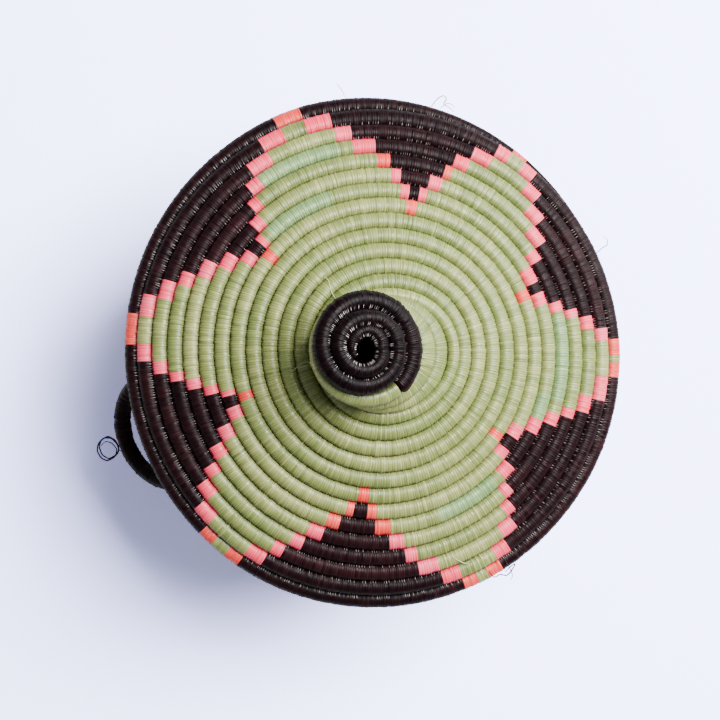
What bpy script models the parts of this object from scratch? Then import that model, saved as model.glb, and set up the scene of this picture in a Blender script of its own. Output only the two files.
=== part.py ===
"""Lidded coil basket: grass coils bound with raffia. A base and a coiled wall with two lashed ear handles,
and a loose conical lid, wound from one coil that runs from its edge up to a leaning spiral knob.
Metres, +Z up, origin at the middle of the base's underside, handles on the X axis."""

import math

import bmesh
import bpy
import numpy as np

# The coil
COIL = 0.0094            # thickness of the bound coil
COURSE_GAP = 0.0010      # left between neighbouring courses of a wound coil
CLEARANCE = 0.0003       # between two pieces that touch on the real basket

# The lid, measured on the coil's middle line
LID_DIAMETER = 0.3156    # across the rim course
RIM_CURVE = 0.032        # radius of the turned-down edge
NECK_CURVE = 0.015       # radius of the sweep from cone to neck
NECK_RISE = 0.0172       # upright stretch below the knob
KNOB_DIAMETER = 0.055    # across the top of the neck
KNOB_CURVE = 0.0135      # radius over the knob's shoulder
KNOB_HOLE = 0.0056       # from the axis to the innermost turn
NECK_LEAN = 0.0185       # how far the knob stands off the middle of the rim
LID_PLAY = 0.0035        # between the collar and the mouth
RIM_SLOPE = math.radians(58)
CONE_SLOPE = math.radians(21.5)
NECK_SLOPE = math.radians(82)
CUP_SLOPE = math.radians(-30)
LID_END_ANGLE = math.radians(7)
OVAL_ANGLE = math.radians(80)
NECK_LEAN_ANGLE = math.radians(160)

# The body, measured on the coil's middle line
BODY_DIAMETER = 0.272    # across the widest course
BODY_HEIGHT = 0.172      # underside of the base to the middle of the mouth course
CORNER_CURVE = 0.034     # radius between base and wall
SHOULDER_CURVE = 0.013   # radius between wall and mouth
RIB_DEPTH = 0.0024       # from a course's crest to the groove beside it
BASE_EDGE = 0.0015       # rounding of the base's edge
WALL_SLOPE = math.radians(86)
MOUTH_SLOPE = math.radians(172)

# The handles
HANDLE_THICKNESS = 0.011
HANDLE_HALF_SPAN = 0.0355   # from the middle of the loop to either leg
HANDLE_REACH = 0.0325       # from the widest course's middle to that of the loop
HANDLE_LEVEL = 0.083        # height of the feet, moved to the nearest course
HANDLE_FILLET = 0.009       # bend between leg and foot
HANDLE_FOOT = 0.024         # length of each foot along the wall
HANDLE_DROOP = math.radians(40)
LASHING_THICKNESS = 0.0018
LASHING_STEP = 0.0034       # from one pass of a lashing to the next
LASHING_HALF_ARC = math.radians(100)   # how far a pass reaches round the foot, each way

# Shares and counts
OVAL_SHARE = 0.012          # how far the lid's rim is out of round, as a share of its radius
TAPER_SHARE = 0.35          # thickness left at the very end of the lid's coil
TAPER_TURN_SHARE = 0.07     # of a turn, over which it thins
END_STEP_SHARE = 0.12       # of the spacing of points, beside a square end
COLLAR_STEP_SHARE = 0.10    # of a turn, in which the collar steps down a course
COLLAR_TURNS = 1.88
POINTS_PER_TURN = 24
WALL_SIDES = 48
LIP_POINTS = 4              # round the mouth's edge
INNER_POINTS = 9            # up the plain inner side of the wall
FOOT_POINTS = 4
BEND_POINTS = 4
LOOP_POINTS = 6             # on half of a handle's loop
LASHING_PASSES = 4
PASS_POINTS = 7             # on one pass of a lashing over the foot
SEAT_RINGS = 13             # on the mouth, where the lid comes down
SEAT_TURNS = 8              # of the lid's coil that may come down there
FINER = 4                   # parts that a stretch between two points is cut into where gaps are measured
SAMPLES = 400

PITCH = COIL + COURSE_GAP
LID_RADIUS = LID_DIAMETER / 2
KNOB_RADIUS = KNOB_DIAMETER / 2
BODY_RADIUS = BODY_DIAMETER / 2
MERGE_DISTANCE = CLEARANCE / 30

GREEN = (0.37, 0.41, 0.20)
DARK = (0.018, 0.012, 0.014)
STRAW = (0.52, 0.42, 0.24)


def clear_scene():
    for old in list(bpy.data.objects):
        bpy.data.objects.remove(old, do_unlink=True)


def binding(name, colour, roughness):
    """Material of one raffia binding."""
    material = bpy.data.materials.new(name)
    material.use_nodes = True
    shader = material.node_tree.nodes["Principled BSDF"]
    shader.inputs["Base Color"].default_value = (*colour, 1.0)
    shader.inputs["Roughness"].default_value = roughness
    shader.inputs["Metallic"].default_value = 0.0
    material.diffuse_color = (*colour, 1.0)
    return material


class Profile:
    """The line that the courses climb, as stretches of constant curvature in the (radius, height) plane.

    A slope is the direction of travel: 0 runs away from the axis, a quarter turn runs straight up."""

    def __init__(self, radius, height, slope):
        self.stretches = []
        self.end = (radius, height, slope)
        self.length = 0.0

    def add(self, length, turn=0.0):
        """A stretch of this length, whose slope turns by this much from end to end."""
        self.stretches.append((self.length, length, turn, *self.end))
        self.end = self._along(self.stretches[-1], length)
        self.length += length
        return self

    def curve(self, radius, slope):
        """An arc of this radius up to a new slope."""
        turn = slope - self.end[2]
        return self.add(radius * abs(turn), turn)

    @staticmethod
    def _along(stretch, distance):
        _, length, turn, radius, height, slope = stretch
        if turn == 0.0:
            return (radius + distance * math.cos(slope), height + distance * math.sin(slope), slope)
        rate = turn / length
        now = slope + rate * distance
        return (
            radius + (math.sin(now) - math.sin(slope)) / rate,
            height - (math.cos(now) - math.cos(slope)) / rate,
            now,
        )

    def at(self, distance):
        """(radius, height, slope) at a distance along the line. Past either end the line runs straight on."""
        found = self.stretches[0]
        for stretch in self.stretches:
            if distance >= stretch[0]:
                found = stretch
        return self._along(found, distance - found[0])

    def beside(self, distance, offset):
        """(radius, height) this far to the right of the line, which is the outer side of a climbing wall."""
        radius, height, slope = self.at(distance)
        return radius + offset * math.sin(slope), height - offset * math.cos(slope)


class Lean:
    """Slides the courses of one stretch of a coil aside and tips them, so that they stay evenly spaced.

    Each course slides in its own tipped plane. What stands on the stretch moves with it."""

    def __init__(self, line, start, end, amount, angle):
        self.step = line.length / SAMPLES
        places = (np.arange(SAMPLES) + 0.5) * self.step
        inside = (places > start) & (places < end)
        ease = np.where(inside, np.sin(math.pi * (places - start) / (end - start)), 0.0)
        towards = np.array([math.cos(angle), math.sin(angle)])
        moves = amount * ease[:, None] / ease.sum() * towards
        offset = np.zeros(2)
        tip = np.zeros(2)
        lift = 0.0
        self.offsets, self.tips, self.lifts = [offset], [tip], [lift]
        for place, move, moved in zip(places, moves, inside):
            radius, _, slope = line.at(place)
            climb = self.step * math.sin(slope)
            slide = move + tip * climb if moved else np.zeros(2)
            lift += slide.dot(tip) - climb * (1 - math.cos(np.linalg.norm(tip)))
            offset = offset + slide - tip * climb
            tip = tip + slide / (radius * math.tan(math.pi - slope))
            self.offsets.append(offset)
            self.tips.append(tip)
            self.lifts.append(lift)

    def move(self, distance, x, y, height):
        whole = min(SAMPLES - 1, int(distance / self.step))
        part = distance / self.step - whole
        offset = self.offsets[whole] * (1 - part) + self.offsets[whole + 1] * part
        tip = self.tips[whole] * (1 - part) + self.tips[whole + 1] * part
        height += self.lifts[whole] * (1 - part) + self.lifts[whole + 1] * part
        angle = np.linalg.norm(tip)
        if angle > 0:
            towards = tip / angle
            side = x * towards[0] + y * towards[1]
            x += side * (math.cos(angle) - 1) * towards[0]
            y += side * (math.cos(angle) - 1) * towards[1]
            height += side * math.sin(angle)
        return x + offset[0], y + offset[1], height


def tube(name, path, thickness, material, shares=None, resolution=1):
    """A closed round tube along a path, with flat ends."""
    data = bpy.data.curves.new(name, "CURVE")
    data.dimensions = "3D"
    data.bevel_depth = thickness / 2
    data.bevel_resolution = resolution
    data.use_fill_caps = True
    data.materials.append(material)
    spline = data.splines.new("POLY")
    spline.points.add(len(path) - 1)
    for i, (x, y, z) in enumerate(path):
        spline.points[i].co = (x, y, z, 1)
        spline.points[i].radius = shares[i] if shares else 1.0
    spline.use_smooth = True
    made = bpy.data.objects.new(name, data)
    basket.objects.link(made)
    return made


def turned(name, outline, material, sides):
    """A closed outline of (radius, height) turned round the Z axis. The outer side runs downwards."""
    data = bpy.data.meshes.new(name)
    edges = [(i, (i + 1) % len(outline)) for i in range(len(outline))]
    data.from_pydata([(radius, 0.0, height) for radius, height in outline], edges, [])
    data.materials.append(material)
    made = bpy.data.objects.new(name, data)
    basket.objects.link(made)
    screw = made.modifiers.new("turn", "SCREW")
    screw.axis = "Z"
    screw.angle = 2 * math.pi
    screw.steps = screw.render_steps = sides
    screw.use_merge_vertices = True
    screw.merge_threshold = MERGE_DISTANCE
    screw.use_smooth_shade = True
    return made


def dense(points):
    """The same line with more points on it."""
    steps = np.linspace(0, 1, FINER, endpoint=False)[None, :, None]
    filled = points[:-1, None] * (1 - steps) + points[1:, None] * steps
    return np.vstack([filled.reshape(-1, 3), points[-1:]])


def lift_to_clear(lower, upper, distance):
    """How far one line has to rise, or sink if negative, to lie just this distance above another."""
    flat = np.linalg.norm(upper[:, None, :2] - lower[None, :, :2], axis=2)
    near = flat < distance
    over = np.sqrt(np.where(near, distance**2 - flat**2, 0))
    needed = lower[None, :, 2] + over - upper[:, None, 2]
    return needed[near].max()


def least_gap(points, shares, thickness):
    """The least clear space between the turns of one coil, from points that are half a turn or more apart."""
    line = dense(points)
    half = np.interp(np.arange(len(line)) / FINER, np.arange(len(points)), shares) * thickness / 2
    least = math.inf
    half_turn = FINER * POINTS_PER_TURN // 2
    for i in range(len(line) - half_turn):
        j = i + half_turn
        gaps = np.linalg.norm(line[j:] - line[i], axis=1) - half[j:] - half[i]
        least = min(least, gaps.min())
    return least


# Lines that the coils follow

def lid_profile():
    """From the lid's edge up the cone and neck and over the knob to its hole. It runs towards the axis."""
    half_turn = math.pi
    line = Profile(LID_RADIUS, 0.0, half_turn - RIM_SLOPE)
    line.curve(RIM_CURVE, half_turn - CONE_SLOPE)
    sweep_run = NECK_CURVE * (math.sin(NECK_SLOPE) - math.sin(CONE_SLOPE))
    upright_run = NECK_RISE * math.cos(NECK_SLOPE)
    cone_run = line.end[0] - KNOB_RADIUS - sweep_run - upright_run
    line.add(cone_run / math.cos(CONE_SLOPE))
    neck_start = line.length
    line.curve(NECK_CURVE, half_turn - NECK_SLOPE)
    line.add(NECK_RISE)
    neck_end = line.length
    line.curve(KNOB_CURVE, half_turn - CUP_SLOPE)
    line.add((line.end[0] - KNOB_HOLE) / math.cos(CUP_SLOPE))
    return line, neck_start, neck_end


def body_profile(base_radius):
    """From the edge of the base out to the corner, up the wall and in over the shoulder to the mouth."""
    line = Profile(base_radius + CLEARANCE, COIL / 2, 0.0)
    line.add(PITCH)
    line.curve(CORNER_CURVE, WALL_SLOPE)
    shoulder_rise = SHOULDER_CURVE * (math.cos(WALL_SLOPE) - math.cos(MOUTH_SLOPE))
    line.add((BODY_HEIGHT - shoulder_rise - line.end[1]) / math.sin(WALL_SLOPE))
    line.curve(SHOULDER_CURVE, MOUTH_SLOPE)
    return line


def base_radius():
    """Radius of the flat base that puts the wall's widest course at the body's diameter."""
    trial = body_profile(0.0)
    widest = max(trial.at(trial.length * i / SAMPLES)[0] for i in range(SAMPLES + 1))
    return BODY_RADIUS - widest


def in_plan(radius, angle, oval_share):
    """(x, y) on a circle drawn out into an oval."""
    drawn = radius * (1 + oval_share * math.cos(2 * (angle - OVAL_ANGLE)))
    return drawn * math.cos(angle), drawn * math.sin(angle)


def stations(start, stop, taper):
    """Distances along a coil: evenly spaced round each turn, and close together where an end is cut square."""
    step = PITCH / POINTS_PER_TURN
    end_step = END_STEP_SHARE * step
    places = [start, start + end_step, stop - end_step, stop]
    for i in range(math.floor(stop / step) + 1):
        if start + 2 * end_step < i * step < stop - 2 * end_step:
            places.append(i * step)
            if taper and i * step < start + TAPER_TURN_SHARE * PITCH:
                places.append((i + 0.5) * step)
    return sorted(places)


def ring(radius, height):
    """Points on a level circle."""
    turns = 2 * math.pi * np.arange(2 * WALL_SIDES) / (2 * WALL_SIDES)
    return np.column_stack([radius * np.cos(turns), radius * np.sin(turns), np.full(len(turns), height)])


def wind_lid(line, lean, neck, start, stop, taper=False):
    """Points and thickness shares of a coil that winds anticlockwise along the lid, one pitch a turn.

    Where its end tapers, the coil stays against the course inside it."""
    points = []
    shares = []
    thinning = TAPER_TURN_SHARE * PITCH
    for distance in stations(start, stop, taper):
        share = 1.0
        if taper and distance - start < thinning:
            share = TAPER_SHARE + (1 - TAPER_SHARE) * (distance - start) / thinning
        radius, height, _ = line.at(distance + (1 - share) * COIL / 2)
        past_neck = min(1.0, max(0.0, (distance - neck[0]) / (neck[1] - neck[0])))
        angle = LID_END_ANGLE + 2 * math.pi * distance / PITCH
        x, y = in_plan(radius, angle, OVAL_SHARE * (1 - past_neck))
        points.append(lean.move(distance, x, y, height))
        shares.append(share)
    return np.array(points), shares


# Pieces of the body

def make_base(radius):
    """The flat base, a short cylinder with rounded edges."""
    mesh = bpy.data.meshes.new("base")
    shape = bmesh.new()
    bmesh.ops.create_cone(
        shape, cap_ends=True, segments=WALL_SIDES, radius1=radius, radius2=radius, depth=COIL
    )
    shape.to_mesh(mesh)
    shape.free()
    mesh.materials.append(green)
    made = bpy.data.objects.new("base", mesh)
    made.location.z = COIL / 2
    basket.objects.link(made)
    bevel = made.modifiers.new("edge", "BEVEL")
    bevel.width = BASE_EDGE
    bevel.segments = 2
    bevel.limit_method = "ANGLE"
    return made


def make_wall(line, courses):
    """The coiled wall as a ribbed shell, a crest and a groove a course outside and plain inside."""
    rib = line.length / courses
    outer = []
    for i in range(courses):
        if i:
            outer.append(line.beside(i * rib, COIL / 2 - RIB_DEPTH))
        outer.append(line.beside((i + 0.5) * rib, COIL / 2))
    outer[0] = line.beside(0.0, COIL / 2)
    lip = []
    radius, height, slope = line.end
    for i in range(LIP_POINTS):
        turn = slope - math.pi / 2 + math.pi * (i + 0.5) / LIP_POINTS
        lip.append((radius + COIL / 2 * math.cos(turn), height + COIL / 2 * math.sin(turn)))
    down = [line.length * (1 - i / INNER_POINTS) for i in range(1, INNER_POINTS + 1)]
    upwards = outer + lip + [line.beside(distance, -COIL / 2) for distance in down]
    return turned("wall", upwards[::-1], dark, WALL_SIDES)


def handle_path(side, foot_radius, level):
    """Foot, leg, loop, leg and foot of one ear handle, on the +X or -X side."""
    leg = HANDLE_HALF_SPAN
    reach = BODY_RADIUS + HANDLE_REACH
    foot_turn = math.asin((leg + HANDLE_FILLET) / (foot_radius + HANDLE_FILLET))
    bend_x = math.cos(foot_turn) * (foot_radius + HANDLE_FILLET)
    bend_y = math.sin(foot_turn) * (foot_radius + HANDLE_FILLET)
    half = []
    for i in range(FOOT_POINTS):
        turn = foot_turn + HANDLE_FOOT * (1 - i / FOOT_POINTS) / foot_radius
        half.append((foot_radius * math.cos(turn), foot_radius * math.sin(turn)))
    for i in range(BEND_POINTS + 1):
        turn = math.pi + foot_turn + (math.pi / 2 - foot_turn) * i / BEND_POINTS
        half.append((bend_x + HANDLE_FILLET * math.cos(turn), bend_y + HANDLE_FILLET * math.sin(turn)))
    for i in range(1, LOOP_POINTS):
        turn = math.pi / 2 * (1 - i / LOOP_POINTS)
        half.append((bend_x + (reach - bend_x) * math.cos(turn), leg * math.sin(turn)))
    whole = half + [(reach, 0.0)] + [(x, -y) for x, y in reversed(half)]
    path = []
    for x, y in whole:
        drop = max(0.0, x - foot_radius) * math.tan(HANDLE_DROOP)
        path.append((side * x, side * y, level - drop))
    return path, foot_turn


def lashing_path(side, end, foot_radius, foot_turn, level, rib):
    """One strand that binds a foot to the wall: over the foot, along the groove, and back over it."""
    steps = PASS_POINTS - 1
    reach = (HANDLE_THICKNESS / 2 + CLEARANCE + LASHING_THICKNESS / 2) / math.cos(LASHING_HALF_ARC / steps)
    rise = rib / 2
    flank = math.atan2(RIB_DEPTH, rise)
    groove = HANDLE_THICKNESS / 2 + CLEARANCE + RIB_DEPTH
    depth = groove - (LASHING_THICKNESS / 2 + CLEARANCE) / math.cos(flank)
    path = []
    for i in range(LASHING_PASSES):
        along_foot = HANDLE_FOOT / 2 + (i - (LASHING_PASSES - 1) / 2) * LASHING_STEP
        turn = end * (foot_turn + along_foot / foot_radius)
        one_pass = [(-depth, -rise)]
        for k in range(PASS_POINTS):
            over = LASHING_HALF_ARC * (2 * k / steps - 1)
            one_pass.append((reach * math.cos(over), reach * math.sin(over)))
        one_pass.append((-depth, rise))
        if i % 2:
            one_pass.reverse()
        for out, up in one_pass:
            radius = foot_radius + out
            path.append((side * radius * math.cos(turn), side * radius * math.sin(turn), level + up))
    return path


def make_handle(name, side, line, courses):
    """An ear handle and the two strands that lash its feet to the wall."""
    rib = line.length / courses
    nearest = min(range(courses), key=lambda i: abs(line.at((i + 0.5) * rib)[1] - HANDLE_LEVEL))
    wall_radius, level = line.beside((nearest + 0.5) * rib, COIL / 2)
    foot_radius = wall_radius + CLEARANCE + HANDLE_THICKNESS / 2
    path, foot_turn = handle_path(side, foot_radius, level)
    tube(name, path, HANDLE_THICKNESS, dark, resolution=2)
    for place, end in (("front", -side), ("rear", side)):
        strand = lashing_path(side, end, foot_radius, foot_turn, level, rib)
        tube(f"{name}_{place}_lashing", strand, LASHING_THICKNESS, straw)


# Pieces of the lid

def collar_path(radius):
    """Two courses of a coil, one below the other, joined by a step down."""
    path = []
    count = round(COLLAR_TURNS * POINTS_PER_TURN)
    for i in range(count + 1):
        turn = COLLAR_TURNS * i / count
        sunk = min(1.0, max(0.0, (turn - 1 + COLLAR_STEP_SHARE) / COLLAR_STEP_SHARE)) * PITCH
        x, y = in_plan(radius, LID_END_ANGLE + 2 * math.pi * turn, 0.0)
        path.append((x, y, -sunk))
    return np.array(path)


clear_scene()
basket = bpy.data.collections.new("lidded_coil_basket")
bpy.context.scene.collection.children.link(basket)
green = binding("green_raffia", GREEN, 0.6)
dark = binding("dark_raffia", DARK, 0.45)
straw = binding("lashing_raffia", STRAW, 0.65)

floor_radius = base_radius()
body_line = body_profile(floor_radius)
wall_courses = round(body_line.length / PITCH)
make_base(floor_radius)
make_wall(body_line, wall_courses)
make_handle("right_handle", 1, body_line, wall_courses)
make_handle("left_handle", -1, body_line, wall_courses)

lid_line, neck_start, neck_end = lid_profile()
lean = Lean(lid_line, neck_start, neck_end, NECK_LEAN, NECK_LEAN_ANGLE)
neck = (neck_start, neck_end)
knob_start = neck_end + PITCH * CLEARANCE / (2 * math.pi * KNOB_RADIUS)
lid_points, lid_shares = wind_lid(lid_line, lean, neck, 0.0, neck_end, taper=True)
knob_points, knob_shares = wind_lid(lid_line, lean, neck, knob_start, lid_line.length)

mouth_places = [body_line.at(body_line.length - i * COIL / FINER) for i in range(SEAT_RINGS)]
mouth_rings = np.vstack([ring(radius, height) for radius, height, _ in mouth_places])
seat = lift_to_clear(mouth_rings, dense(lid_points[: SEAT_TURNS * POINTS_PER_TURN]), COIL + CLEARANCE)
rise = np.array([0.0, 0.0, seat])
collar = collar_path(body_line.end[0] - COIL - LID_PLAY)
hang = lift_to_clear(dense(collar), dense(lid_points), COIL + CLEARANCE)
tube("lid_coil", lid_points + rise, COIL, green, lid_shares)
tube("knob_coil", knob_points + rise, COIL, dark, knob_shares)
tube("lid_collar", collar + rise - np.array([0.0, 0.0, hang]), COIL, dark)

print(f"lid turns {neck_end / PITCH:.3f}, knob turns {(lid_line.length - neck_end) / PITCH:.3f}")
for name, points, shares in (
    ("lid", lid_points, lid_shares),
    ("knob", knob_points, knob_shares),
    ("collar", collar, [1.0] * len(collar)),
):
    gap = least_gap(points, shares, COIL)
    print(f"{name} coil: least gap to itself {1000 * gap:.2f} mm")
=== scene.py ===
import math

import bpy
import numpy as np
from mathutils import Matrix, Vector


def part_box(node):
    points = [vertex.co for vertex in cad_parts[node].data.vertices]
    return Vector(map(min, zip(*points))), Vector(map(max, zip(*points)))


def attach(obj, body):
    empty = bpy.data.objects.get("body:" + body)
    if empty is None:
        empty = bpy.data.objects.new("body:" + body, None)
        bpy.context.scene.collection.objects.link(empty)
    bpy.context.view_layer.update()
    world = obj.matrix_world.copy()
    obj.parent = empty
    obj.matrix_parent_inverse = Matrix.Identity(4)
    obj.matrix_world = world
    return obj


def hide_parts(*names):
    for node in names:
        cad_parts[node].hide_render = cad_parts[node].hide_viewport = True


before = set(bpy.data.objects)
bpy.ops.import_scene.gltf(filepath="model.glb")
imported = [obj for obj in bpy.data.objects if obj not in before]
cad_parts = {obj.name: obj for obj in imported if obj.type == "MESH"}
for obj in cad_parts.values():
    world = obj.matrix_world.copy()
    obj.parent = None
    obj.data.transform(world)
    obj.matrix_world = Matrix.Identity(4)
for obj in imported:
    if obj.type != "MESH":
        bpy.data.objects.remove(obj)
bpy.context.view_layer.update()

rng = np.random.default_rng(7)

# Sizes that follow the solids, in metres
COIL = 0.0094            # thickness of the bound coil
PITCH = 0.0104           # from course to course
LID_RADIUS = 0.1578
KNOB_RADIUS = 0.0275
RIM_CURVE = 0.032
NECK_CURVE = 0.015
NECK_RISE = 0.0172
KNOB_CURVE = 0.0135
KNOB_HOLE = 0.0056
NECK_LEAN = 0.0185
OVAL_SHARE = 0.012
RIM_SLOPE = math.radians(58)
CONE_SLOPE = math.radians(21.5)
NECK_SLOPE = math.radians(82)
CUP_SLOPE = math.radians(-30)
LID_END_ANGLE = math.radians(7)
OVAL_ANGLE = math.radians(80)
NECK_LEAN_ANGLE = math.radians(160)
COLLAR_TURNS = 1.88
STEP_START_SHARE = 0.92    # of a turn, where the collar starts to step down
STEP_LENGTH_SHARE = 0.10   # of a turn
BODY_RADIUS = 0.136
BODY_HEIGHT = 0.172
CORNER_CURVE = 0.034
SHOULDER_CURVE = 0.013
WALL_SLOPE = math.radians(86)
MOUTH_SLOPE = math.radians(172)
CLEARANCE = 0.0003
HANDLE_THICKNESS = 0.011
HANDLE_HALF_SPAN = 0.0355
HANDLE_REACH = 0.0325
HANDLE_LEVEL = 0.083
HANDLE_FILLET = 0.009
HANDLE_FOOT = 0.024
HANDLE_DROOP = math.radians(40)
LASHING_THICKNESS = 0.0018
LASHING_STEP = 0.0034    # from one pass of a lashing to the next
LASHING_PASSES = 4
LASHING_ARC = math.radians(100)
LASHING_BOW = 0.0008     # how far a pass bends along the foot
LASHING_TUCK_SHARE = 0.75   # of its reach round the foot, how far its ends go in behind

# The raffia: the width of one strand along each coil
LID_STITCH = 0.0015
KNOB_STITCH = 0.0012
BODY_STITCH = 0.0020
HANDLE_STITCH = 0.0017
STITCH_DEPTH = 0.00024   # of the groove between two strands
GROOVE_SHARES = (0.6, 1.4)   # of that depth, at least and at most
COIL_SPREAD_SHARE = 0.16   # how much the strands of a coil differ in width
ROPE_SPREAD_SHARE = 0.15
LUMP_SHARE = 0.022       # and in height, both one by one and over a longer stretch
JAG_SHARE = 0.055        # and in how far they reach over the next course
STRETCH = 60             # stations in a longer stretch
RAFFIA_LENGTH = (25, 80)    # strands that one length of raffia makes, at least and at most
LENGTH_TINT_SHARE = 0.13
STRAND_TINT_SHARE = 0.15

# The meshes: sides of a section, rows of the layout, fit to the space between courses, and where along a
# strand its rings lie
LID_SIDES, LID_ROWS, LID_FIT = 12, 12, 0.995
KNOB_SIDES, KNOB_ROWS = 18, 4
COLLAR_SIDES, COLLAR_ROWS = 10, 6
BODY_SIDES, BASE_ROWS, WALL_ROWS, BODY_FIT = 8, 6, 12, 1.09
HANDLE_SIDES, HANDLE_ROWS = 12, 3
ROUND_STRAND = (0.0, 0.30, 0.70)
PLAIN_STRAND = (0.0, 0.5)
FINE_STEPS = 6000
ROW_MARGIN = 0.02        # share of a row left free on each side
COIL_BOX = 0.95          # below 1, a section is fuller at its sides
TICK = 1e-5              # to either side of a place where a direction is taken
BASE_START = 0.30        # courses from the middle of the base to the coil's inner end

# The photograph
PHOTO_SIZE = 720         # pixels, each way
PHOTO_TURN = math.radians(20)   # its right is this far clockwise of +X
CAMERA_DISTANCE = 1.15   # from the lid's rim
METRES_PER_PIXEL = 0.000638     # at the rim
RIM_PIXEL = (374.5, 354.0)
LEAN_RIGHT = math.tan(math.radians(6.4))
LEAN_UP = math.tan(math.radians(2.0))
SENSOR_MM = 36

# How the hand-wound lid differs from its even form. Its outline has a few long waves: how many, how far they
# reach in metres, and the photograph's degrees of a crest. They fade out over the top of the neck.
LID_WAVES = ((0, 0.0004, 0), (1, 0.0017, -32), (2, 0.0011, 7), (3, 0.0005, 15))
WAVES_END = 16.5         # courses from the edge
WAVES_FADE = 1.5         # courses
# On one side the outermost course stands out. That fades over these courses and away from this angle of the
# photograph.
RIM_FLARE = 0.0054
RIM_FLARE_ANGLE = math.radians(88)
RIM_FLARE_SPREAD = math.radians(42)
RIM_FLARE_COURSES = (-0.5, 1.5)
# The neck stands out on the side that it leans from, by these shares at these courses.
NECK_FLARE = 0.0072
NECK_FLARE_ANGLE = math.radians(-8)
NECK_FLARE_SPREAD = math.radians(70)
NECK_FLARE_COURSES = (11.9, 12.4, 13.4, 14.4, 15.4, 15.8, 16.6)
NECK_FLARE_SHARES = (0.0, 0.08, 0.62, 1.0, 0.95, 0.90, 0.0)
# The knob's spiral, quarter turn by quarter turn: how far it stands out from its even form, in metres.
KNOB_COURSES = (15.8, 15.92, 16.17, 16.42, 16.67, 16.92, 17.17, 17.42, 17.67, 17.92, 18.17, 18.42)
KNOB_SHIFTS = (
    0.0047, 0.0044, 0.0018, 0.0009, -0.0014, -0.0019, -0.0018, 0.0018, -0.0006, -0.0029, 0.0015, 0.0029
)
# Its thickness, as shares of the coil's, at shares of its length. Its start is blunt.
KNOB_PLACES = (0, 0.12, 0.28, 0.7, 0.96, 1)
KNOB_SHARES = (1.34, 1.32, 1.20, 1.10, 0.95, 0.5)
KNOB_BLUNT_SHARE = 0.012


# The lines that the courses climb

def walk(radius, height, slope, moves, step=0.0001):
    """Distance, radius, height and slope along stretches of (length, turn)."""
    distance, line = 0.0, [(0.0, radius, height, slope)]
    for length, turn in moves:
        count = max(1, round(length / step))
        part = length / count
        for _ in range(count):
            slope += turn / count / 2
            radius += part * math.cos(slope)
            height += part * math.sin(slope)
            slope += turn / count / 2
            distance += part
            line.append((distance, radius, height, slope))
    return np.array(line).T


def bump(angle, middle, spread):
    """One at the middle, falling off on both sides."""
    off = (angle - middle + math.pi) % (2 * math.pi) - math.pi
    return np.exp(-((off / spread) ** 2))


def outward(angle, amount):
    """A level move of this amount away from the axis."""
    return np.column_stack([amount * np.cos(angle), amount * np.sin(angle), np.zeros(len(angle))])


class Surface:
    """A turned surface that a coil is wound on: the place of any distance along its line, at any angle."""

    def __init__(self, line):
        self.known, self.radii, self.heights, self.slopes = line

    def on_line(self, distance):
        """Radius and height. Past either end the line runs straight on."""
        inside = np.clip(distance, self.known[0], self.known[-1])
        beyond = distance - inside
        slope = np.interp(inside, self.known, self.slopes)
        radius = np.interp(inside, self.known, self.radii) + beyond * np.cos(slope)
        return radius, np.interp(inside, self.known, self.heights) + beyond * np.sin(slope)

    def at(self, distance, angle):
        radius, height = self.on_line(distance)
        return np.column_stack([radius * np.cos(angle), radius * np.sin(angle), height])


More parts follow.
